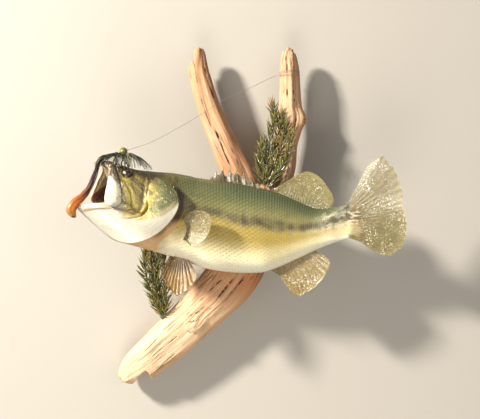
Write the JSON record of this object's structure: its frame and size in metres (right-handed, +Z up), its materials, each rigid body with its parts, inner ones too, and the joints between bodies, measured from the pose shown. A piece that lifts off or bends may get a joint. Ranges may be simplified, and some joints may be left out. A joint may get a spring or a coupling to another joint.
{
  "type": "mounted fish",
  "caption": "Largemouth bass mount, mouth wide open on a skirted jig, set on a forked piece of driftwood with water plants and a taut fishing line; hangs flat on a wall.",
  "frame": {"origin": "on the planed back of the driftwood, behind the fish's middle, in the plane of the wall", "axes": "+Z up as it hangs, +Y into the wall, +X towards the fish's tail; the fish's left side faces -Y"},
  "size_m": [0.5169, 0.1812, 0.5666],
  "materials": {
    "fish_skin": "clear gloss lacquer over painted skin: dark olive back, yellow-olive flank with a broken brown band, cream belly and white throat",
    "mouth": "wet-looking gloss, pink to brown",
    "eye": "polished, dark pupil in a golden-brown ring",
    "fin": "gloss lacquer over ribbed olive-yellow membrane with pale edges",
    "driftwood": "weathered, dry and matt, with deep grain and checks",
    "plant": "dull sheen, olive to brown",
    "lure_head": "gloss paint, olive green",
    "lure_skirt": "thin silicone strands, green, brown and black",
    "hook_steel": "bronzed wire",
    "lure_trailer": "glossy soft plastic, brown turning orange at its end",
    "line": "clear nylon monofilament",
    "hanger_steel": "zinc-plated"
  },
  "bodies": {
    "root": {"head": "fish_skin", "lower_jaw": "fish_skin", "gill_cover_left": "fish_skin", "gill_cover_right": "fish_skin", "maxilla_left": "fish_skin", "maxilla_right": "fish_skin", "trunk_front": "fish_skin", "trunk_rear": "fish_skin", "tail_base": "fish_skin", "tongue": "mouth", "eye_left": "eye", "eye_right": "eye", "fin_spiny_dorsal": "fin", "fin_soft_dorsal": "fin", "fin_anal": "fin", "fin_caudal": "fin", "fin_pectoral_left": "fin", "fin_pectoral_right": "fin", "fin_pelvic_left": "fin", "fin_pelvic_right": "fin", "driftwood_trunk": "driftwood", "driftwood_branch_left": "driftwood", "driftwood_branch_right": "driftwood", "plant_upper": "plant", "plant_lower": "plant", "lure_head": "lure_head", "lure_skirt": "lure_skirt", "lure_hook": "hook_steel", "lure_trailer": "lure_trailer", "fishing_line": "line", "line_wrap": "line", "hanger_plate": "hanger_steel", "hanger_screw_1": "hanger_steel", "hanger_screw_2": "hanger_steel"}
  },
  "joints": []
}
